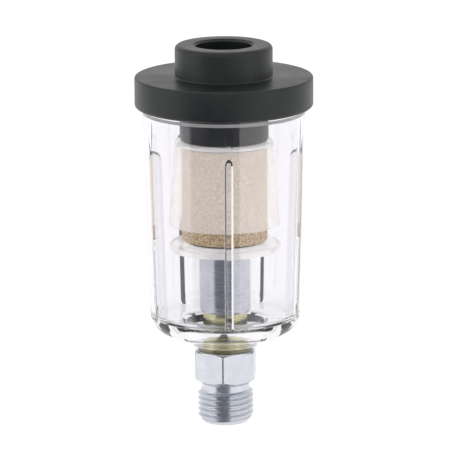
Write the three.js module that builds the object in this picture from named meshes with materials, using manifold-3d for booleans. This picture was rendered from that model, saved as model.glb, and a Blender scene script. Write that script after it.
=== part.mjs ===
// An in-line compressed air filter with a clear bowl, in millimetres.
//
// Air comes in at the threaded neck of the black head, leaves it sideways through four ports, drops
// round the outside of the deflector, turns inwards through the sintered bronze element and goes down
// the hollow stem to the male outlet thread. The stem is also the tie bolt: its stud screws into the
// head, and its hexagon pulls the bowl up against the head's gasket.
//
// +Z is up, along the axis of flow. The origin is the centre of the outlet's end face. -Y is the front.

import * as THREE from "three";
import { mergeVertices } from "three/addons/utils/BufferGeometryUtils.js";
import Module from "manifold-3d";

const wasm = await Module();
wasm.setup();

// ---- Driving dimensions ----

const GAP = 0.05; // left between two pieces that touch, and never between a screw and its hole
const COARSE = 40; // flat sides round a large piece
const FINE = 32; // flat sides round a small piece

// The G 1/4 pipe thread of both ports. Its turns are drawn as rings.
const PIPE = { major: 6.578, minor: 5.722, pitch: 1.337, flat: 0.223 };
const FLANK = PIPE.pitch / 2 - PIPE.flat;

// The fine M8 stud of the stem, and the M10 neck that joins the fitting to the stem.
const STUD = { radius: 3.9, hole: 4.05, pitch: 1.25, engagement: 5.9 };
const NECK = { radius: 5.25, hole: 5.4, bore: 3.3 };

const HEX = { acrossFlats: 14, height: 8.05, topCircle: 7.25, bottomCircle: 5.9, turned: -4.3 };
const OUTLET = { length: 9.45, undercutRadius: 5.65, chamfer: 1.1, rings: 5 };

const BOWL = {
  height: 60.15, // from the foot of its boss to the top of its rim
  bossHeight: 3.7,
  floor: 4.6, // thickness
  topRadius: 19.1,
  bottomRadius: 17.85,
  rimRadius: 19.25,
  rimBore: 18.35,
  rimHeight: 2.25, // from the top of its inner chamfer
  wall: 1.7,
  corner: 6,
  fins: 5,
  finsTurned: 3.4, // degrees from the front to the first fin
};

const HEAD = {
  flangeRadius: 21,
  flangeHeight: 7.32,
  neckRadius: 11.5,
  neckHeight: 7.49,
  bossRadius: 10.45,
  bossHeight: 7.65,
  ports: 4,
};

const ELEMENT = { radius: 10.15, bore: 6.3, height: 22.4 };
const DEFLECTOR = { topRadius: 11.65, skirtRadius: 13.15, height: 20.1, plate: 0.95, wall: 0.9 };
const BAFFLE = { radius: 13.1, thickness: 1.6, seatRadius: 10.4, seatHeight: 0.3 };
const STEM = { radius: 6.05, length: 14.95, studLength: 32.35 };
const GASKET = 0.4; // thickness of the two seals at the element's ends

// ---- Stations along the axis, upwards from the outlet's end face ----

const hexTop = OUTLET.length + HEX.height;
const bowlFoot = hexTop + GAP;
const bowlBottom = bowlFoot + BOWL.bossHeight;
const bowlFloor = bowlBottom + BOWL.floor;
const stemFoot = bowlFloor + 1.25;
const baffleFoot = stemFoot + STEM.length + GAP;
const lowerGasketFoot = baffleFoot + BAFFLE.thickness + BAFFLE.seatHeight + GAP;
const elementFoot = lowerGasketFoot + GASKET + GAP;
const upperGasketFoot = elementFoot + ELEMENT.height + GAP;
const deflectorTop = upperGasketFoot + GASKET + GAP + DEFLECTOR.plate;
const headFoot = deflectorTop + GAP;

// ---- Outlines ----

// An arc of an outline about (r, z), between two angles in degrees measured from +r towards +z.
function arc(r, z, radius, from, to, steps = 3) {
  return Array.from({ length: steps + 1 }, (_, i) => {
    const angle = THREE.MathUtils.degToRad(from + ((to - from) * i) / steps);
    return [r + radius * Math.cos(angle), z + radius * Math.sin(angle)];
  });
}

// The rings of a pipe thread, going up from `start`, between its root and crest radii.
function threadRings(start, count, root, crest) {
  return Array.from({ length: count }, (_, i) => start + i * PIPE.pitch).flatMap((z) => [
    [root, z],
    [crest, z + FLANK],
    [crest, z + FLANK + PIPE.flat],
    [root, z + 2 * FLANK + PIPE.flat],
  ]);
}

// ---- Solids ----

// The outline's points are (r, z). They run anticlockwise with r to the right and z up, and either
// start and end on the axis or close on themselves.
function revolve(outline, sides) {
  const points = outline.map(([r, z]) => new THREE.Vector2(r, z));
  if (outline[0][0] > 0) points.push(points[0].clone());
  return new THREE.LatheGeometry(points, sides).rotateX(Math.PI / 2);
}

function solid(geometry) {
  const bare = geometry.clone().deleteAttribute("normal").deleteAttribute("uv");
  const merged = mergeVertices(bare);
  return new wasm.Manifold(
    new wasm.Mesh({
      numProp: 3,
      vertProperties: merged.getAttribute("position").array,
      triVerts: new Uint32Array(merged.index.array),
    }),
  );
}

function geometryOf(manifold) {
  const { vertProperties, triVerts } = manifold.getMesh();
  return new THREE.BufferGeometry()
    .setAttribute("position", new THREE.BufferAttribute(vertProperties, 3))
    .setIndex(new THREE.BufferAttribute(triVerts, 1));
}

// A ring of rectangular section.
function flatRing(bore, radius, height, sides = FINE) {
  const outline = [
    [bore, 0],
    [radius, 0],
    [radius, height],
    [bore, height],
  ];
  return revolve(outline, sides);
}

// A ring of round section whose lowest point is at z = 0.
function oRing(bore, section, sides) {
  const radius = section / 2;
  const outline = arc(bore + radius, radius, radius, 0, 315, 7);
  return revolve(outline, sides);
}

// A round bar lying across the axis at height z, to cut a cross hole with.
function crossBar(radius, length, z, turned) {
  return new THREE.CylinderGeometry(radius, radius, length, 12).rotateZ(turned).translate(0, 0, z);
}

// ---- Pieces, each standing on its own z = 0 ----

// The moulded head, from the foot of the boss inside the bowl to the top of the inlet neck.
function headGeometry() {
  const flangeFoot = HEAD.bossHeight;
  const flangeTop = flangeFoot + HEAD.flangeHeight;
  const top = flangeTop + HEAD.neckHeight;
  const roof = flangeTop - 3.1; // of the hollow round the boss
  const channelRoof = flangeTop - 4.05; // of the channel for the bowl's rim
  const boreEnd = flangeFoot + 0.3;
  const studHoleEnd = STUD.engagement + 0.5;
  const rings = 6;
  const threadTop = top - 0.7;
  const threadEnd = threadTop - rings * PIPE.pitch;

  const outline = [
    [0, studHoleEnd],
    [STUD.hole, studHoleEnd],
    [STUD.hole, 0.4],
    [STUD.hole + 0.4, 0],
    ...arc(HEAD.bossRadius - 0.7, 0.7, 0.7, -90, 0),
    [HEAD.bossRadius, roof],
    [16.2, roof],
    [16.2, flangeFoot + 0.2],
    [17.6, flangeFoot + 0.2],
    [17.6, channelRoof],
    [19.45, channelRoof],
    [19.45, flangeFoot],
    ...arc(HEAD.flangeRadius - 0.9, flangeFoot + 0.9, 0.9, -90, 0),
    ...arc(HEAD.flangeRadius - 0.5, flangeTop - 0.5, 0.5, 0, 90),
    [HEAD.neckRadius + 0.4, flangeTop],
    [HEAD.neckRadius, flangeTop + 0.4],
    ...arc(HEAD.neckRadius - 0.9, top - 0.9, 0.9, 0, 90),
    [PIPE.major + 0.25, top],
    ...threadRings(threadEnd, rings, PIPE.major, PIPE.minor).reverse(),
    [5.4, threadEnd - 0.5],
    [5.4, boreEnd],
    [0, boreEnd],
  ];
  let head = solid(revolve(outline, COARSE));
  const portHeight = roof - 2;
  for (let i = 0; i < HEAD.ports / 2; i++) {
    const angle = Math.PI / 4 + (i * Math.PI) / 2;
    head = head.subtract(solid(crossBar(1.6, 2 * HEAD.bossRadius + 2, portHeight, angle)));
  }
  return geometryOf(head);
}

// One stiffening fin inside the bowl's wall at the front, with its foot on the floor and a sloping top.
function finGeometry(innerTop, innerBottom, floor, finTop) {
  const reach = 1.7;
  const sunk = 0.4;
  const outline = [
    [innerBottom - reach, floor - sunk],
    [innerBottom + sunk, floor - sunk],
    [innerTop + sunk, finTop],
    [innerTop, finTop],
    [innerTop - reach, finTop - 3.4],
  ];
  const thickness = 1.8;
  const shape = new THREE.Shape(outline.map(([r, z]) => new THREE.Vector2(r, z)));
  return new THREE.ExtrudeGeometry(shape, { depth: thickness, bevelEnabled: false })
    .translate(0, 0, -thickness / 2)
    .rotateX(Math.PI / 2)
    .rotateZ(-Math.PI / 2);
}

// The clear bowl, from the foot of its boss on the hexagon to its rim inside the head's channel.
function bowlGeometry() {
  const bottom = BOWL.bossHeight;
  const floor = bottom + BOWL.floor;
  const cornerTop = bottom + BOWL.corner;
  const rimFoot = BOWL.height - BOWL.rimHeight;
  const chamferFoot = rimFoot - 0.9;
  const stepHeight = chamferFoot - 3.6;
  const innerTop = BOWL.topRadius - BOWL.wall;
  const innerBottom = BOWL.bottomRadius - BOWL.wall;
  const finTop = stepHeight - 4;

  const outline = [
    [6.55, 0],
    [7.25, 0],
    ...arc(11, 0.25, 3.7, 180, 90, 5),
    ...arc(BOWL.bottomRadius - BOWL.corner, cornerTop, BOWL.corner, -90, 0, 6),
    [BOWL.topRadius, chamferFoot - 2.6],
    [BOWL.rimRadius, chamferFoot + 0.3],
    [BOWL.rimRadius, BOWL.height],
    [BOWL.rimBore, BOWL.height],
    [BOWL.rimBore, rimFoot],
    [innerTop + 0.15, chamferFoot],
    [innerTop + 0.15, stepHeight + 0.3],
    [innerTop, stepHeight],
    ...arc(innerBottom - 1, floor + 1, 1, 0, -90, 2),
    [10.15, floor],
    [9.3, floor - 0.6],
    [6.5, 3.6],
    [5.6, 3.2],
    [5.6, 1.25],
    [6.55, 1.25],
  ];
  let bowl = solid(revolve(outline, COARSE));
  const fin = finGeometry(innerTop, innerBottom, floor, finTop);
  for (let i = 0; i < BOWL.fins; i++) {
    const turned = THREE.MathUtils.degToRad(BOWL.finsTurned + (360 * i) / BOWL.fins);
    bowl = bowl.add(solid(fin.clone().rotateZ(turned)));
  }
  return geometryOf(bowl);
}

// The male outlet thread, the hexagon and the neck that carries the stem, bored right through.
function outletFittingGeometry() {
  const neckTop = stemFoot + 6;
  const ringsEnd = OUTLET.chamfer + OUTLET.rings * PIPE.pitch;
  const core = [
    [NECK.bore + 0.4, 0],
    [PIPE.minor - 0.25, 0],
    [PIPE.major - 0.4, OUTLET.chamfer],
    ...threadRings(OUTLET.chamfer + 0.05, OUTLET.rings, PIPE.minor, PIPE.major),
    [OUTLET.undercutRadius, ringsEnd + 0.15],
    [OUTLET.undercutRadius, OUTLET.length + 0.1],
    [NECK.radius, OUTLET.length + 0.1],
    [NECK.radius, neckTop],
    [NECK.bore, neckTop],
    [NECK.bore, 0.4],
  ];
  const cornerRadius = HEX.acrossFlats / Math.sqrt(3);
  const prism = new THREE.CylinderGeometry(cornerRadius, cornerRadius, HEX.height, 6)
    .rotateX(Math.PI / 2)
    .rotateZ(THREE.MathUtils.degToRad(HEX.turned))
    .translate(0, 0, HEX.height / 2);
  const chamfers = [
    [NECK.radius - 0.5, 0],
    [HEX.bottomCircle, 0],
    [cornerRadius + 0.1, 1.55],
    [cornerRadius + 0.1, HEX.height - 0.5],
    [HEX.topCircle, HEX.height],
    [NECK.radius - 0.5, HEX.height],
  ];
  const hexagon = solid(prism)
    .intersect(solid(revolve(chamfers, COARSE)))
    .translate([0, 0, OUTLET.length]);
  return geometryOf(solid(revolve(core, COARSE)).add(hexagon));
}

// The stem: a plain sleeve over the fitting's neck, then the stud with its bore and cross holes.
function stemGeometry() {
  const neckEngagement = 6.2;
  const top = STEM.length + STEM.studLength;
  const boreTop = STEM.length + 20;
  const studBore = 2.2;
  const outline = [
    [NECK.hole, 0],
    [STEM.radius - 0.35, 0],
    [STEM.radius, 0.35],
    [STEM.radius, STEM.length - 0.3],
    [STEM.radius - 0.3, STEM.length],
    [STUD.radius, STEM.length],
    [STUD.radius, top - 0.6],
    [STUD.radius - 0.6, top],
    [0, top],
    [0, boreTop],
    [studBore, boreTop],
    [studBore, STEM.length - 3],
    [NECK.bore, STEM.length - 4.1],
    [NECK.bore, neckEngagement + 0.6],
    [NECK.hole, neckEngagement],
  ];
  let stem = solid(revolveFromBore(outline, FINE));
  for (const height of [7, 15]) {
    for (const turned of [0, Math.PI / 2]) {
      stem = stem.subtract(solid(crossBar(1.4, 3 * STUD.radius, STEM.length + height, turned)));
    }
  }
  return geometryOf(stem);
}

// As revolve, for an outline that meets the axis part of the way round: it starts from there.
function revolveFromBore(outline, sides) {
  const first = outline.findIndex(([r]) => r === 0);
  return revolve([...outline.slice(first + 1), ...outline.slice(0, first + 1)], sides);
}

// The translucent cup over the element: a flat plate under the head's boss and a flared skirt.
function deflectorGeometry() {
  const { topRadius, skirtRadius, height, plate, wall } = DEFLECTOR;
  const outline = [
    [skirtRadius - wall, 0],
    [skirtRadius, 0],
    ...arc(topRadius - 0.6, height - 0.6, 0.6, 0, 90),
    [STUD.hole, height],
    [STUD.hole, height - plate],
    [topRadius - wall, height - plate],
  ];
  return revolve(outline, COARSE);
}

// The translucent dish under the element, which keeps the water below it still.
function baffleGeometry() {
  const { radius, thickness, seatRadius, seatHeight } = BAFFLE;
  const outline = [
    [STUD.hole, 0],
    [radius - 0.5, 0],
    [radius, 0.4],
    [radius, thickness],
    [radius - 0.5, thickness],
    [radius - 0.8, thickness - 0.3],
    [seatRadius, thickness - 0.3],
    [seatRadius - 0.3, thickness + seatHeight],
    [STUD.hole, thickness + seatHeight],
  ];
  return revolve(outline, COARSE);
}

// The porous tube that the air is filtered through.
function elementGeometry() {
  return flatRing(ELEMENT.bore, ELEMENT.radius, ELEMENT.height, COARSE);
}

// ---- Materials ----

function material(color, roughness, metalness, opacity = 1) {
  return new THREE.MeshStandardMaterial({
    color,
    roughness,
    metalness,
    opacity,
    transparent: opacity < 1,
  });
}

const blackPlastic = material(0x2b2f30, 0.45, 0);
const clearPlastic = material(0xeeeef4, 0.05, 0, 0.3);
const milkyPlastic = material(0xe9e9ee, 0.4, 0, 0.7);
const sinteredBronze = material(0xb59763, 0.8, 0.6);
const zincPlate = material(0xc3c7cd, 0.3, 1);
const blackRubber = material(0x1c1c1e, 0.7, 0);
const amberRubber = material(0x8f7a2e, 0.4, 0);

// ---- Assembly ----

function piece(name, geometry, look, z) {
  const mesh = new THREE.Mesh(geometry, look);
  mesh.name = name;
  mesh.position.z = z;
  return mesh;
}

function group(...children) {
  return new THREE.Group().add(...children);
}

// What turns with the hexagon.
const outlet = group(
  piece("outlet_fitting", outletFittingGeometry(), zincPlate, 0),
  piece("outlet_seal", oRing(NECK.radius + GAP, 1.15, FINE), amberRubber, hexTop + GAP),
  piece("stem", stemGeometry(), zincPlate, stemFoot),
);

// What rests on the outlet's hexagon and on the stem's shoulder.
const bowl = group(
  piece("bowl", bowlGeometry(), clearPlastic, bowlFoot),
  piece("baffle_disc", baffleGeometry(), milkyPlastic, baffleFoot),
  piece("lower_gasket", flatRing(6.6, 9.3, GASKET), blackRubber, lowerGasketFoot),
  piece("filter_element", elementGeometry(), sinteredBronze, elementFoot),
  piece("upper_gasket", flatRing(6.6, 9.6, GASKET), blackRubber, upperGasketFoot),
  piece("deflector", deflectorGeometry(), milkyPlastic, deflectorTop - DEFLECTOR.height),
);

// What lifts off upwards once the stud is unscrewed from it.
const head = group(
  piece("head", headGeometry(), blackPlastic, headFoot),
  piece("head_gasket", flatRing(17.75, 19.35, 1.5, COARSE), blackRubber, bowlFoot + BOWL.height + GAP),
);

export default group(outlet, bowl, head);
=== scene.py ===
"""The look of the in-line compressed air filter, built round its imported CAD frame.

Outlines are written in millimetres and become metres as each mesh is made. Every piece takes its
place from the box of the CAD node that it replaces, and rides on that node's body.
"""

import math

import bmesh
import bpy
from mathutils import Matrix, Vector, noise


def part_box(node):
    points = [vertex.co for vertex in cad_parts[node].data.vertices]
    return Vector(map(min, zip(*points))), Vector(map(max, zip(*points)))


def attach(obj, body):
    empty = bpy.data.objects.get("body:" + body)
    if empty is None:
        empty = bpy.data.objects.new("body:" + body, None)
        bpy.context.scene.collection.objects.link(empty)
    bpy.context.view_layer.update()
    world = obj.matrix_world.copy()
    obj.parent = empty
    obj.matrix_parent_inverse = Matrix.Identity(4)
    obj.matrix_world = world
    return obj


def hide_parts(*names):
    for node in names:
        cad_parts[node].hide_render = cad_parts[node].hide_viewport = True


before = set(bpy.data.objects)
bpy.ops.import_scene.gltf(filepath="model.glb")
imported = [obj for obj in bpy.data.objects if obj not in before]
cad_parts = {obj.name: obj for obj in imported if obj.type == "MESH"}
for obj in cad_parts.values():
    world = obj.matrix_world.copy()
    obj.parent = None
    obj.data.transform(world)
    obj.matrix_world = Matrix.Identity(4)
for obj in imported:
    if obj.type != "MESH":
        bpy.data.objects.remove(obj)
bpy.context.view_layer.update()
scene = bpy.context.scene

MM = 0.001
SIDES = 144  # columns round a turned piece
FITTING_SIDES = 240  # columns round the outlet fitting, whose hexagon needs more
HEX_TURN = math.radians(-4.3)
FIN_TURN = math.radians(3.4)
FINS = 5
FIN_REACH = 1.75  # how far a fin stands out from the bowl's wall
FIN_HALF = math.radians(3.5)  # half the angle that a fin takes up round the bowl
PITCH = 1.337  # of the G 1/4 pipe thread
PIPE_MAJOR = 6.578
PIPE_MINOR = 5.722
STUD_HOLE = 4.05
NECK_BORE = 3.3


def foot(node):
    """Height of a CAD node's lowest point, in millimetres."""
    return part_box(node)[0].z / MM


# ---- Outlines and meshes ----


def arc(r, z, radius, start, end, steps=6):
    """Points on an arc about (r, z), from one angle to another, in degrees from +r towards +z."""
    angles = [math.radians(start + (end - start) * i / steps) for i in range(steps + 1)]
    return [(r + radius * math.cos(a), z + radius * math.sin(a)) for a in angles]


def lifted(outline, dz):
    """The outline, raised by dz."""
    return [(r, z + dz) for r, z in outline]


def column_angles(turn=0.0, sides=SIDES):
    return [turn - math.pi / 2 + 2 * math.pi * i / sides for i in range(sides)]


def make(name, verts, faces, material, body, *nodes, slot, sharp=28):
    """A piece from millimetre coordinates, smooth except where its faces meet at a sharp angle."""
    mesh = bpy.data.meshes.new(name)
    mesh.from_pydata([tuple(MM * c for c in v) for v in verts], [], faces)
    work = bmesh.new()
    work.from_mesh(mesh)
    bmesh.ops.remove_doubles(work, verts=work.verts, dist=1e-7)
    bmesh.ops.dissolve_degenerate(work, edges=work.edges, dist=1e-8)
    bmesh.ops.recalc_face_normals(work, faces=work.faces)
    work.to_mesh(mesh)
    work.free()
    mesh.shade_smooth()
    mesh.set_sharp_from_angle(angle=math.radians(sharp))
    piece = bpy.data.objects.new(name, mesh)
    scene.collection.objects.link(piece)
    mesh.materials.append(material)
    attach(piece, body)
    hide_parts(*nodes)
    return piece


def grid(columns, closed_profile):
    """Vertices and quads from columns of (x, y, z) points round the axis."""
    rows = len(columns[0])
    verts = [p for column in columns for p in column]
    faces = []
    last = rows if closed_profile else rows - 1
    for i in range(len(columns)):
        a = i * rows
        b = ((i + 1) % len(columns)) * rows
        for j in range(last):
            k = (j + 1) % rows
            faces.append((a + j, b + j, b + k, a + k))
    return verts, faces


def turned(outline, angles, closed_profile=True):
    """Columns of the outline at each angle, as a grid."""
    columns = [[(r * math.cos(a), r * math.sin(a), z) for r, z in outline] for a in angles]
    return grid(columns, closed_profile)


def joined(*parts):
    """Several (vertices, faces) pairs as one."""
    verts, faces = [], []
    for part_verts, part_faces in parts:
        base = len(verts)
        verts += part_verts
        faces += [tuple(base + i for i in face) for face in part_faces]
    return verts, faces


def thread_radius(turn):
    """Height of the rounded thread form, 0 at the root and 1 at the crest, along one pitch."""
    slope = abs((turn % 1.0) - 0.5) * 2
    raw = min(1.0, max(0.0, (0.86 - slope) / 0.72))
    return raw * raw * (3 - 2 * raw) * 0.5 + raw * 0.5


def thread_wall(z0, z1, angles, root, crest, limit, per_pitch=14):
    """A right-hand helical wall from z0 to z1. Both end loops are plain circles of radius limit(z).

    The rows follow the helix and are held inside the ends, so the crests stay clean."""
    step = PITCH / per_pitch
    low = int((z0 - PITCH) / step) - 2
    high = int(z1 / step) + 2
    verts, faces = [], []
    rows = high - low + 1
    for i in range(len(angles) + 1):
        a = angles[i % len(angles)]
        rise = PITCH * i / len(angles)
        for j in range(rows):
            z = (low + j) * step + rise
            radius = root + (crest - root) * thread_radius(j / per_pitch)
            if z <= z0 or z >= z1:
                z = min(max(z, z0), z1)
                radius = limit(z)
            else:
                radius = (min if crest > root else max)(radius, limit(z))
            verts.append((radius * math.cos(a), radius * math.sin(a), z))
    for i in range(len(angles)):
        for j in range(rows - 1):
            a = i * rows + j
            b = a + rows
            faces.append((a, b, b + 1, a + 1))
    return verts, faces


# ---- Materials ----


def shader(name, **values):
    """A material with a Principled shader, its constant values set on the shader itself."""
    material = bpy.data.materials.new(name)
    material.use_nodes = True
    principled = material.node_tree.nodes["Principled BSDF"]
    for key, value in values.items():
        principled.inputs[key.replace("_", " ")].default_value = value
    return material, material.node_tree, principled


def add_node(tree, kind, **settings):
    made = tree.nodes.new(kind)
    for key, value in settings.items():
        if key in made.inputs:
            made.inputs[key].default_value = value
        else:
            setattr(made, key, value)
    return made


def object_coordinates(tree, scale=(1, 1, 1)):
    place = add_node(tree, "ShaderNodeMapping")
    place.inputs["Scale"].default_value = scale
    tree.links.new(add_node(tree, "ShaderNodeTexCoord").outputs["Object"], place.inputs["Vector"])
    return place.outputs["Vector"]


def noise_at(tree, vector, scale, detail=2.0, roughness=0.5):
    made = add_node(tree, "ShaderNodeTexNoise", Scale=scale, Detail=detail, Roughness=roughness)
    tree.links.new(vector, made.inputs["Vector"])
    return made.outputs["Fac"]


def ramp(tree, value, low, high, low_color, high_color):
    made = add_node(tree, "ShaderNodeValToRGB")
    made.color_ramp.elements[0].position = low
    made.color_ramp.elements[0].color = (*low_color, 1)
    made.color_ramp.elements[1].position = high
    made.color_ramp.elements[1].color = (*high_color, 1)
    tree.links.new(value, made.inputs["Fac"])
    return made.outputs["Color"]


def spread(tree, value, low, high, out_low, out_high):
    made = add_node(tree, "ShaderNodeMapRange")
    for key, number in zip(("From Min", "From Max", "To Min", "To Max"), (low, high, out_low, out_high)):
        made.inputs[key].default_value = number
    tree.links.new(value, made.inputs["Value"])
    return made.outputs["Result"]


def bump(tree, principled, height, strength, distance):
    made = add_node(tree, "ShaderNodeBump", Strength=strength, Distance=distance)
    tree.links.new(height, made.inputs["Height"])
    tree.links.new(made.outputs["Normal"], principled.inputs["Normal"])


def black_plastic():
    """Glass-filled moulding: a fine even texture and faint cloudiness in its gloss."""
    material, tree, principled = shader("black_plastic", Roughness=0.36, Specular_IOR_Level=0.38)
    where = object_coordinates(tree)
    clouds = noise_at(tree, where, 160, 3)
    grain = noise_at(tree, where, 3200, 2)
    color = ramp(tree, clouds, 0.3, 0.7, (0.006, 0.008, 0.0088), (0.0105, 0.0125, 0.0132))
    tree.links.new(color, principled.inputs["Base Color"])
    tree.links.new(spread(tree, clouds, 0.3, 0.7, 0.33, 0.42), principled.inputs["Roughness"])
    bump(tree, principled, grain, 0.18, 0.00003)
    return material


def clear_plastic():
    """Polycarbonate: clear, with a slight waviness left by the mould."""
    material, tree, principled = shader(
        "clear_plastic", Roughness=0.012, IOR=1.585, Transmission_Weight=1.0
    )
    where = object_coordinates(tree)
    waves = noise_at(tree, object_coordinates(tree, (1, 1, 0.35)), 110, 1.5)
    color = ramp(tree, noise_at(tree, where, 60, 1), 0.3, 0.7, (0.915, 0.905, 0.93), (0.93, 0.922, 0.945))
    tree.links.new(color, principled.inputs["Base Color"])
    bump(tree, principled, waves, 0.08, 0.0003)
    return material


def frosted_plastic():
    """The same plastic where the mould is matt: the chamfer under the bowl's rim."""
    material, tree, principled = shader(
        "frosted_plastic", Roughness=0.5, IOR=1.585, Transmission_Weight=0.25
    )
    clouds = noise_at(tree, object_coordinates(tree), 500, 2)
    color = ramp(tree, clouds, 0.3, 0.7, (0.84, 0.85, 0.86), (0.92, 0.93, 0.94))
    tree.links.new(color, principled.inputs["Base Color"])
    return material


def milky_plastic():
    """Natural polyethylene: what is behind it blurs. Its faint emission brightens the inside of the
    bowl, which renders too dark without it."""
    material, tree, principled = shader(
        "milky_plastic", Roughness=0.13, IOR=1.2, Transmission_Weight=0.76, Emission_Strength=0.13
    )
    principled.inputs["Emission Color"].default_value = (1.0, 0.985, 0.97, 1)
    clouds = noise_at(tree, object_coordinates(tree), 220, 2)
    color = ramp(tree, clouds, 0.3, 0.7, (0.985, 0.965, 0.95), (1.0, 0.985, 0.975))
    tree.links.new(color, principled.inputs["Base Color"])
    tree.links.new(spread(tree, clouds, 0.3, 0.7, 0.11, 0.18), principled.inputs["Roughness"])
    bump(tree, principled, noise_at(tree, object_coordinates(tree), 1500, 2), 0.08, 0.00005)
    return material


def sintered_bronze():
    """Fused bronze balls: lighter tops and darker pores between them, partly the grains' own colour and
    partly painted shade in the pores. It also glows faintly, painted light that brightens the element
    inside the bowl.
    """
    # The emission is painted light: the tube glows faintly in place of the light that the bowl keeps from
    # it.
    material, tree, principled = shader(
        "sintered_bronze", Metallic=0.05, Roughness=0.62, Emission_Strength=0.2
    )
    principled.inputs["Emission Color"].default_value = (1.0, 0.78, 0.52, 1)
    where = object_coordinates(tree)
    cells = add_node(tree, "ShaderNodeTexVoronoi", Scale=2300.0, Randomness=1.0)
    tree.links.new(where, cells.inputs["Vector"])
    clouds = noise_at(tree, where, 420, 3)
    # Lighter grain tops and darker pores: partly the grains' own colour, partly painted shade in the
    # pores, which are the bump's recesses.
    grains_and_pore_shade = ramp(tree, cells.outputs["Distance"], 0.12, 0.62, (1.0, 0.84, 0.56), (0.3, 0.19, 0.09))
    tones = ramp(tree, clouds, 0.35, 0.65, (0.85, 0.78, 0.68), (1, 1, 1))
    mixed = add_node(tree, "ShaderNodeMix", data_type="RGBA", blend_type="MULTIPLY")
    mixed.inputs["Factor"].default_value = 1.0
    tree.links.new(grains_and_pore_shade, mixed.inputs["A"])
    tree.links.new(tones, mixed.inputs["B"])
    tree.links.new(mixed.outputs["Result"], principled.inputs["Base Color"])
    height = spread(tree, cells.outputs["Distance"], 0.0, 0.6, 1, 0)
    bump(tree, principled, height, 0.8, 0.00012)
    return material


def zinc_plate(name, across, strength, low=(0.6, 0.617, 0.67), high=(0.68, 0.695, 0.74)):
    """Bright plate over tool marks, which run round a turned piece and are fine grain on a flat."""
    material, tree, principled = shader(name, Metallic=1.0, Roughness=0.24)
    marks = noise_at(tree, object_coordinates(tree, across), 900, 3, 0.6)
    clouds = noise_at(tree, object_coordinates(tree), 260, 3)
    color = ramp(tree, clouds, 0.3, 0.7, low, high)
    tree.links.new(color, principled.inputs["Base Color"])
    tree.links.new(spread(tree, marks, 0.3, 0.7, 0.17, 0.32), principled.inputs["Roughness"])
    bump(tree, principled, marks, strength, 0.00004)
    return material


def rubber(name, color, transmission=0.0):
    """Matt moulded rubber with a fine grain."""
    material, tree, principled = shader(
        name, Roughness=0.5, IOR=1.5, Transmission_Weight=transmission
    )
    clouds = noise_at(tree, object_coordinates(tree), 400, 2)
    darker = tuple(c * 0.8 for c in color)
    tree.links.new(ramp(tree, clouds, 0.3, 0.7, darker, color), principled.inputs["Base Color"])
    bump(tree, principled, noise_at(tree, object_coordinates(tree), 2600, 2), 0.15, 0.00003)
    return material


BLACK = black_plastic()
CLEAR = clear_plastic()
FROSTED = frosted_plastic()
MILKY = milky_plastic()
BRONZE = sintered_bronze()
ZINC = zinc_plate("zinc_plate", (0.12, 0.12, 6.0), 0.25)
ZINC_HEXAGON = zinc_plate("zinc_plate_hexagon", (1.0, 1.0, 1.0), 0.3)
ZINC_OLIVE = zinc_plate("zinc_plate_olive", (0.12, 0.12, 6.0), 0.2, (0.62, 0.6, 0.34), (0.7, 0.68, 0.42))
BLACK_RUBBER = rubber("black_rubber", (0.02, 0.02, 0.022))
AMBER_RUBBER = rubber("amber_rubber", (0.52, 0.46, 0.14), 0.3)


# ---- Pieces ----


def make_head():
    """The moulded head: neck with its female thread, flange, rim channel and boss."""
    z0 = foot("head")
    flange_foot = 7.65
    flange_top = 14.97
    top = 22.46
    angles = column_angles()
    thread_top = top - 0.55
    thread_end = 13.2
    bore, bore_end = 5.4, 7.95
    stud_hole_end = 6.4
    hollow_roof = 11.87  # of the hollow round the boss
    channel_roof = 10.92  # of the channel for the bowl's rim
    wall_foot = 7.85  # of the wall between the hollow and the channel
    inlet_bore = [(bore, thread_end), (bore, bore_end), (0, bore_end)]
    outside = [
        (0, stud_hole_end),
        (STUD_HOLE, stud_hole_end),
        (STUD_HOLE, 0.4),
        (STUD_HOLE + 0.4, 0),
        *arc(9.75, 0.7, 0.7, -90, 0),
        (10.45, hollow_roof),
        (16.2, hollow_roof),
        (16.2, wall_foot),
        (17.6, wall_foot),
        (17.6, channel_roof),
        (19.45, channel_roof),
        (19.45, flange_foot + 0.25),
        (19.7, flange_foot),
        *arc(20.1, flange_foot + 0.9, 0.9, -90, 0),
        (21, 10.78),
        *arc(20.5, flange_top - 0.5, 0.5, 0, 90),
        *arc(11.8, flange_top + 0.3, 0.3, -90, -180),
        *arc(10.4, top - 1.1, 1.1, 0, 90, 8),
        *arc(7.35, top - 0.25, 0.25, 90, 180),
        (PIPE_MAJOR + 0.1, thread_top),
    ]

    def limit(z):
        return PIPE_MAJOR + 0.1 if z > thread_end + 1 else bore + (z - thread_end) * 1.2

    wall = thread_wall(thread_end, thread_top, angles, PIPE_MAJOR + 0.1, PIPE_MINOR, limit)
    parts = joined(turned(inlet_bore, angles, False), turned(outside, angles, False), wall)
    parts = ([(x, y, z + z0) for x, y, z in parts[0]], parts[1])
    piece = make("head_moulding", *parts, BLACK, "head", "head", slot="black_plastic", sharp=35)
    drill(piece, z0 + hollow_roof - 2)


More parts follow.
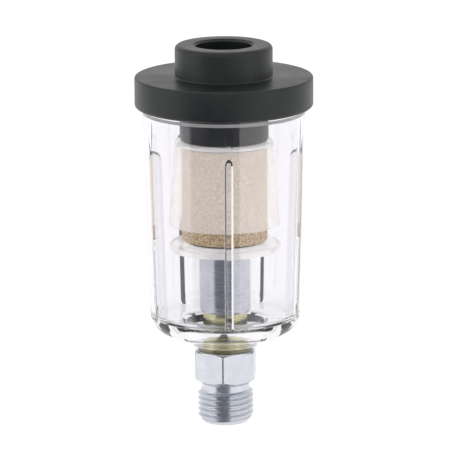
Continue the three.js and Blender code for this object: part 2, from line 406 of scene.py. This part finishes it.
def drill(piece, height):
    """Cuts the four ports across the boss, out of sight behind the flange."""
    radius, across_boss = 1.6 * MM, 0.0235
    work = bmesh.new()
    for i in range(2):
        turn = Matrix.Rotation(math.pi / 4 + i * math.pi / 2, 4, "Z")
        lay = Matrix.Rotation(math.pi / 2, 4, "X")
        place = Matrix.Translation((0, 0, height * MM)) @ turn @ lay
        bmesh.ops.create_cone(
            work, cap_ends=True, segments=32, radius1=radius, radius2=radius, depth=across_boss,
            matrix=place,
        )
    mesh = bpy.data.meshes.new("port_cutter")
    work.to_mesh(mesh)
    work.free()
    cutter = bpy.data.objects.new("port_cutter", mesh)
    scene.collection.objects.link(cutter)
    cut = piece.modifiers.new("ports", "BOOLEAN")
    cut.operation = "DIFFERENCE"
    cut.solver = "EXACT"
    cut.use_self = True
    cut.object = cutter
    bpy.context.view_layer.update()
    evaluated = piece.evaluated_get(bpy.context.evaluated_depsgraph_get())
    mesh = bpy.data.meshes.new_from_object(evaluated)
    piece.modifiers.clear()
    piece.data = mesh
    mesh.shade_smooth()
    mesh.set_sharp_from_angle(angle=math.radians(35))
    bpy.data.objects.remove(cutter)


def ring(name, node, outline, material, body, slot, sharp=28):
    """A turned piece from an outline that starts at the node's own foot."""
    parts = turned(lifted(outline, foot(node)), column_angles())
    return make(name, *parts, material, body, node, slot=slot, sharp=sharp)


def bowl_columns():
    """(angle, across) for each column round the bowl. On a fin, angle is the fin's middle and across
    is the column's place on it, from -1 to 1. Elsewhere across is None."""
    columns = []
    spacing = 2 * math.pi / FINS
    gap = spacing - 2 * FIN_HALF
    plain = 24  # steps between two fins
    for i in range(FINS):
        centre = FIN_TURN - math.pi / 2 + i * spacing
        columns += [(centre, across) for across in (-1.0, -0.84, -0.6, 0.0, 0.6, 0.84, 1.0)]
        columns += [(centre + FIN_HALF + gap * j / plain, None) for j in range(1, plain)]
    return columns


def make_bowl():
    """The clear bowl, whose five fins are moulded into its inner wall."""
    z0 = foot("bowl")
    bottom, floor, height = 3.7, 8.3, 60.15
    rim_foot = height - 2.25
    chamfer_foot = rim_foot - 0.9
    step = chamfer_foot - 3.6
    fin_top = step - 4
    top_inner, low_inner = 17.4, 16.15
    outer = [
        (6.55, 0),
        (7.25, 0),
        *arc(10.95, 0.25, 3.45, 180, 90, 12),
        *arc(11.85, bottom + 6, 6, -90, 0, 24),
        (19.1, chamfer_foot - 2.6),
        (19.25, chamfer_foot + 0.3),
        (19.25, height - 0.2),
        (19.05, height),
        (18.5, height),
        (18.35, height - 0.15),
        (18.35, rim_foot),
        (top_inner + 0.09, chamfer_foot),
        (top_inner, step),
    ]
    # down each fin: its rounded top, where it grows to its full width and depth, then its straight
    shoulder = fin_top - 3.4
    heights = [fin_top - drop for drop in (0, 0.35, 0.8, 1.4, 2.2, 3.4)]
    heights += [shoulder - (shoulder - floor - 1.2) * i / 12 for i in range(1, 13)]
    widths = [0.12, 0.5, 0.72, 0.88, 0.97, 1.0]
    depths = [0.15, 0.85, 1.3, 1.55, 1.68, FIN_REACH]
    floor_part = [
        *arc(low_inner - 1.15, floor + 1.15, 1.15, 0, -90, 8),
        (10.3, floor),
        (10.15, floor - 0.1),
        (9.35, floor - 0.55),
        (9.15, floor - 0.75),
        (6.55, 3.75),
        (5.75, 3.3),
        (5.6, 3.15),
        (5.6, 1.25),
        (6.55, 1.25),
    ]

    def place(r, z, at):
        return (r * math.cos(at), r * math.sin(at), z + z0)

    columns = []
    for angle, across in bowl_columns():
        edge = angle if across is None else angle + FIN_HALF * across
        column = [place(r, z, edge) for r, z in outer]
        for k, z in enumerate(heights):
            r = low_inner + (top_inner - low_inner) * (z - floor) / (step - floor)
            at = angle
            if across is not None:
                at += FIN_HALF * across * widths[min(k, 5)]
                r -= fin_depth(across) * depths[min(k, 5)]
            column.append(place(r, z, at))
        for r, z in floor_part:
            if across is not None and r > 12:
                r = min(r, low_inner - fin_depth(across) * FIN_REACH)
            column.append(place(r, z, edge))
        columns.append(column)
    piece = make(
        "bowl_moulding", *grid(columns, True), CLEAR, "bowl", "bowl", slot="clear_plastic", sharp=32
    )
    piece.data.materials.append(FROSTED)
    for face in piece.data.polygons:
        middle = face.center / MM
        if chamfer_foot < middle.z - z0 < rim_foot and math.hypot(middle.x, middle.y) < 18.4:
            face.material_index = 1


def fin_depth(across):
    """Share of the fin's depth at a place across it: steep sides with rounded shoulders."""
    away = abs(across)
    return 1.0 if away < 0.5 else 0.97 if away < 0.7 else 0.8 if away < 0.9 else 0.0


def make_deflector():
    """The milky cup over the element, a little rolled at its lower rim."""
    height, plate = 20.1, 0.95
    outline = [
        (12.3, 0.12),
        *arc(12.72, 0.45, 0.45, -90, 0, 4),
        (12.98, 2.6),
        *arc(11.05, height - 0.6, 0.6, 0, 90),
        (STUD_HOLE + 0.15, height),
        (STUD_HOLE, height - 0.15),
        (STUD_HOLE, height - plate),
        (10.6, height - plate),
        (10.8, height - 1.15),
        (12.1, 2.6),
        (12.18, 0.45),
    ]
    ring("deflector_cup", "deflector", outline, MILKY, "bowl", "milky_plastic")


def make_baffle():
    """The milky dish under the element, with its bevelled rim and raised seat."""
    outline = [
        (STUD_HOLE, 0),
        (12.5, 0),
        *arc(12.75, 0.35, 0.35, -90, 0, 4),
        *arc(12.8, 1.3, 0.3, 0, 90, 4),
        (12.6, 1.6),
        (12.3, 1.3),
        (10.75, 1.3),
        (10.55, 1.45),
        (10.2, 1.9),
        (STUD_HOLE, 1.9),
    ]
    ring("baffle_dish", "baffle_disc", outline, MILKY, "bowl", "milky_plastic")


def make_element():
    """The sintered tube, whose outside is really rough at the size of its grains."""
    z0 = foot("filter_element")
    height, bore, end_radius = 22.4, 6.3, 9.9
    mean_radius, roughness, lumps = 10.09, 0.055, 2.2  # lumps: how many to a millimetre, roughly
    sides, rows = 240, 84
    columns = []
    for i in range(sides):
        a = 2 * math.pi * i / sides
        column = [(bore, z0), (end_radius, z0)]
        for j in range(rows + 1):
            z = 0.2 + (height - 0.4) * j / rows
            place = Vector((10 * math.cos(a), 10 * math.sin(a), z)) * lumps
            r = mean_radius + roughness * noise.noise(place)
            column.append((r, z + z0))
        column += [(end_radius, z0 + height), (bore, z0 + height)]
        columns.append([(r * math.cos(a), r * math.sin(a), z) for r, z in column])
    parts = grid(columns, True)
    make("bronze_tube", *parts, BRONZE, "bowl", "filter_element", slot="sintered_bronze", sharp=50)


def hexagon_radius(angle, flats=7.0, rounding=0.25):
    """Distance from the axis to a hexagon whose corners are slightly rounded."""
    across = (angle + math.pi / 6) % (math.pi / 3) - math.pi / 6
    corner = flats / math.cos(math.pi / 6) - rounding * 0.35
    return min(flats / math.cos(math.pi / 6 - abs(across)), corner)


def make_fitting():
    """The outlet fitting: end, helical thread, undercut, chamfered hexagon, neck and bore."""
    angles = column_angles(HEX_TURN, FITTING_SIDES)
    hex_foot, hex_top = 9.45, 17.5
    thread_top, undercut = 7.9, 5.65
    neck, groove, neck_top = 5.25, 5.05, foot("stem") + 6
    columns = []
    for a in angles:
        out = hexagon_radius(a - HEX_TURN + math.pi / 2)
        rise = (out - 5.9) * 1.55 / 2.28
        sink = (out - 7.0) * 0.42 + 0.02
        column = [
            (undercut, thread_top),
            (undercut, hex_foot),
            (5.95, hex_foot),
            (out, hex_foot + rise),
            (out, hex_top - sink),
            (6.95, hex_top),
            (neck, hex_top),
            (neck, hex_top + 1.9),
            (groove, hex_top + 2.1),
            (groove, hex_top + 2.9),
            (neck, hex_top + 3.1),
            (neck, neck_top),
            (NECK_BORE, neck_top),
            (NECK_BORE, 0.4),
            (3.7, 0),
            (5.4, 0),
        ]
        columns.append([(r * math.cos(a), r * math.sin(a), z) for r, z in column])

    def limit(z):
        start = 5.4 + z * 0.72
        end = undercut + (thread_top - z) * 1.6
        return min(start, end, PIPE_MAJOR)

    wall = thread_wall(0, thread_top, angles, PIPE_MINOR, PIPE_MAJOR, limit)
    parts = joined(grid(columns, False), wall)
    piece = make("outlet_union", *parts, ZINC, "stem", "outlet_fitting", slot="zinc_plate", sharp=24)
    piece.data.materials.append(ZINC_HEXAGON)
    piece.data.materials.append(ZINC_OLIVE)
    for face in piece.data.polygons:  # 1 on the hexagon's outside, 2 on the outside of the neck
        middle = face.center / MM
        if hex_foot < middle.z < hex_top and math.hypot(middle.x, middle.y) > 6:
            face.material_index = 1
        elif middle.z > hex_top and math.hypot(middle.x, middle.y) > 4.5:
            face.material_index = 2


def make_stem():
    """The stem: a turned sleeve with bevelled ends and a hollow stud above it. The stud's cross
    holes, which the element always hides, are left to the CAD."""
    outline = [
        (5.4, 0),
        (5.7, 0),
        (6.05, 0.45),
        (6.05, 14.65),
        (5.75, 14.95),
        (3.9, 14.95),
        (3.9, 46.7),
        (3.3, 47.3),
        (0, 47.3),
        (0, 34.8),
        (2.2, 34.8),
        (2.2, 11.8),
        (NECK_BORE, 10.7),
        (NECK_BORE, 6.8),
        (5.4, 6.2),
    ]
    ring("stem_sleeve", "stem", outline, ZINC, "stem", "zinc_plate")


def make_seals():
    """The rim gasket, the two thin washers at the element's ends and the O-ring on the neck."""
    gasket = [(17.75, 0.1), (17.85, 0), (19.25, 0), (19.35, 0.1), (19.35, 1.4), (19.25, 1.5)]
    gasket += [(17.85, 1.5), (17.75, 1.4)]
    ring("rim_gasket", "head_gasket", gasket, BLACK_RUBBER, "head", "black_rubber")
    for name, node, outer in (("gasket_low", "lower_gasket", 9.3), ("gasket_high", "upper_gasket", 9.6)):
        washer = [(6.6, 0), (outer - 0.1, 0), (outer, 0.1), (outer, 0.3), (outer - 0.1, 0.4), (6.6, 0.4)]
        ring(name, node, washer, BLACK_RUBBER, "bowl", "black_rubber")
    seal = arc(5.875, 0.575, 0.575, 0, 345, 23)
    ring("neck_seal", "outlet_seal", seal, AMBER_RUBBER, "stem", "amber_rubber", sharp=60)


make_head()
make_bowl()
make_deflector()
make_baffle()
make_element()
make_fitting()
make_stem()
make_seals()


# ---- Studio, in metres ----

FLOOR = -0.0065


def make_floor():
    """A pale floor that glows enough to be plain white, just below the fitting's lowest place."""
    half, z = 3.0, FLOOR
    mesh = bpy.data.meshes.new("floor")
    corners = [(-half, -half, z), (half, -half, z), (half, half, z), (-half, half, z)]
    mesh.from_pydata(corners, [], [(0, 1, 2, 3)])
    material, tree, principled = shader("floor_white", Roughness=0.7, Emission_Strength=0.8)
    principled.inputs["Emission Color"].default_value = (1, 1, 1, 1)
    clouds = noise_at(tree, object_coordinates(tree), 3, 2)
    tree.links.new(ramp(tree, clouds, 0.3, 0.7, (0.26, 0.26, 0.26), (0.28, 0.28, 0.28)),
                   principled.inputs["Base Color"])
    mesh.materials.append(material)
    floor = bpy.data.objects.new("floor", mesh)
    scene.collection.objects.link(floor)


def make_front_flag():
    """A dark card just above the floor in front, outside the view. It is hidden from the camera and
    shows in gloss and through clear plastic, where it gives bright metal its dark core."""
    z = FLOOR + 0.0003
    edge = [(0.0, -0.008)]
    edge += [(math.sin(math.radians(a)), -math.cos(math.radians(a))) for a in range(-50, 23, 8)]
    mesh = bpy.data.meshes.new("front_flag")
    mesh.from_pydata([(x, y, z) for x, y in edge], [], [tuple(range(len(edge)))])
    material, _, principled = shader("flag_grey", Roughness=1.0, Emission_Strength=1.0)
    principled.inputs["Base Color"].default_value = (0, 0, 0, 1)
    principled.inputs["Emission Color"].default_value = (0.13, 0.14, 0.16, 1)
    mesh.materials.append(material)
    flag = bpy.data.objects.new("front_flag", mesh)
    scene.collection.objects.link(flag)
    for kind in ("camera", "diffuse", "shadow", "volume_scatter"):
        setattr(flag, "visible_" + kind, False)


def make_light(name, size, power, azimuth, elevation, distance):
    """A soft rectangular light aimed at the middle of the object. Azimuth 0 is in front."""
    data = bpy.data.lights.new(name, "AREA")
    data.shape = "RECTANGLE"
    data.size, data.size_y = size
    data.energy = power
    light = bpy.data.objects.new(name, data)
    scene.collection.objects.link(light)
    a, e = math.radians(azimuth), math.radians(elevation)
    target = Vector((0, 0, 0.045))
    offset = Vector((math.sin(a) * math.cos(e), -math.cos(a) * math.cos(e), math.sin(e)))
    light.location = target + distance * offset
    light.rotation_euler = (-offset).to_track_quat("-Z", "Y").to_euler()


def make_world():
    """An even white room, a little dimmer overhead than at the sides."""
    world = bpy.data.worlds.new("studio")
    scene.world = world
    world.use_nodes = True
    tree = world.node_tree
    background = tree.nodes["Background"]
    split = add_node(tree, "ShaderNodeSeparateXYZ")
    tree.links.new(add_node(tree, "ShaderNodeTexCoord").outputs["Generated"], split.inputs["Vector"])
    shade = ramp(tree, split.outputs["Z"], 0.0, 0.9, (1.0, 1.0, 1.0), (0.8, 0.8, 0.81))
    tree.links.new(shade, background.inputs["Color"])
    background.inputs["Strength"].default_value = 0.97


def make_camera():
    """A long lens from a little above, rolled by about a third of a degree."""
    data = bpy.data.cameras.new("camera")
    data.sensor_width = 36
    data.lens = 374.86
    camera = bpy.data.objects.new("camera", data)
    scene.collection.objects.link(camera)
    camera.location = (0, -1.07867, 0.29170)
    aim = Vector((0.00007, 0, 0.04747))
    turn = (aim - camera.location).to_track_quat("-Z", "Y").to_matrix().to_4x4()
    camera.rotation_euler = (turn @ Matrix.Rotation(math.radians(-0.35), 4, "Z")).to_euler()
    scene.camera = camera


make_floor()
make_front_flag()
make_world()
make_light("overhead", size=(1.6, 1.6), power=1.5, azimuth=0, elevation=88, distance=1.3)
make_light("left_box", size=(0.5, 1.1), power=1.2, azimuth=-75, elevation=20, distance=0.9)
make_light("right_box", size=(0.35, 1.1), power=0.9, azimuth=62, elevation=18, distance=0.9)
make_camera()
scene.view_settings.view_transform = "Standard"
scene.cycles.use_denoising = True
